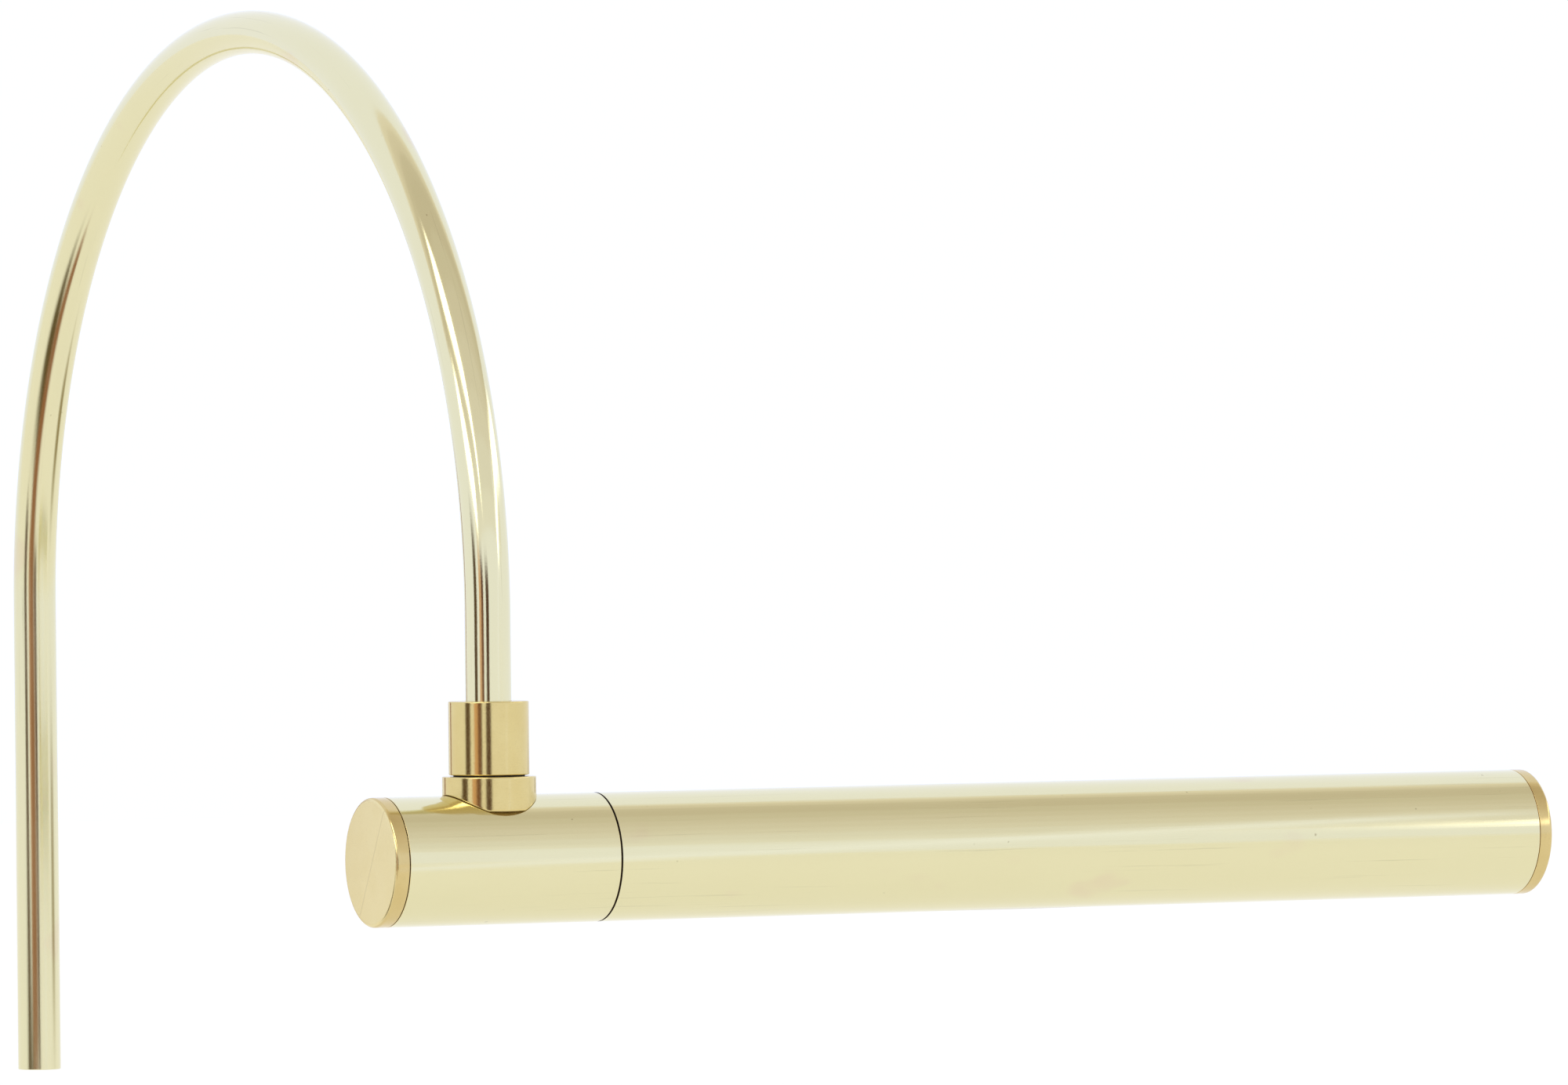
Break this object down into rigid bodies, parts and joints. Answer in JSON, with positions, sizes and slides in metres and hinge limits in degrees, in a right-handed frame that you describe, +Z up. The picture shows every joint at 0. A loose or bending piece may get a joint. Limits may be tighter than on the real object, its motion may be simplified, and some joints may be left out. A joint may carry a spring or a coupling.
{
  "type": "picture light",
  "caption": "Brass picture light: a slim tubular head with a turning slotted shade, hung on a swivel from a tube arm bent to an arch.",
  "frame": {"origin": "centre of the cut lower end of the arm's rear leg, which the wall bracket grips", "axes": "+Z up along the rear leg; +X along the head towards its far end; +Y towards the wall, so the front faces -Y"},
  "size_m": [0.2826, 0.279, 0.2445],
  "materials": {
    "tube_brass": "polished, clear lacquered tube, pale",
    "turned_brass": "turned and polished solid brass, deeper gold",
    "steel": "zinc plated",
    "dark_fibre": "matte",
    "white_nylon": "matte moulded",
    "white_pvc": "satin",
    "amber_plastic": "moulded",
    "brown_pvc": "satin",
    "grey_pvc": "satin",
    "red_pvc": "satin",
    "aluminium": "extruded, satin anodised",
    "white_board": "white solder mask",
    "phosphor": "moulded package with yellow phosphor",
    "opal_diffuser": "opal, satin"
  },
  "bodies": {
    "arm": {"arm_tube": "tube_brass", "arm_collar": "turned_brass", "collar_screw": "steel", "swivel_nipple": "turned_brass", "swivel_washer": "dark_fibre", "stop_washer": "steel", "swivel_spring": "steel", "swivel_nut": "turned_brass", "lead_bush": "white_nylon", "supply_lead": "white_pvc"},
    "housing": {"housing_tube": "tube_brass", "saddle_ring": "turned_brass", "inner_saddle": "turned_brass", "swivel_stop_pin": "steel", "housing_cap": "turned_brass", "housing_cap_screw": "steel", "pivot_hub": "turned_brass", "pivot_hub_screw": "steel", "shade_stop_pin": "steel", "pivot_spring": "steel", "pivot_washer": "steel", "retaining_ring": "steel", "splice_connectors": "amber_plastic", "supply_cores": "brown_pvc", "link_wires": "grey_pvc"},
    "shade": {"shade_tube": "tube_brass", "shade_bush": "turned_brass", "shade_bush_screw": "steel", "shade_cap": "turned_brass", "shade_cap_screw": "steel", "channel_pillars": "turned_brass", "channel_screws": "steel", "led_channel": "aluminium", "led_board": "white_board", "led_chips": "phosphor", "diffuser": "opal_diffuser", "lamp_wires": "red_pvc"}
  },
  "joints": [
    {"name": "head_swivel", "type": "hinge", "parent": "arm", "child": "housing", "pos_m": [0, -0.26, 0.075], "axis": [0, 0, 1], "range_deg": [-75, 75]},
    {"name": "shade_turn", "type": "hinge", "parent": "housing", "child": "shade", "pos_m": [0.025, -0.26, 0.057], "axis": [1, 0, 0], "range_deg": [-60, 60]}
  ]
}
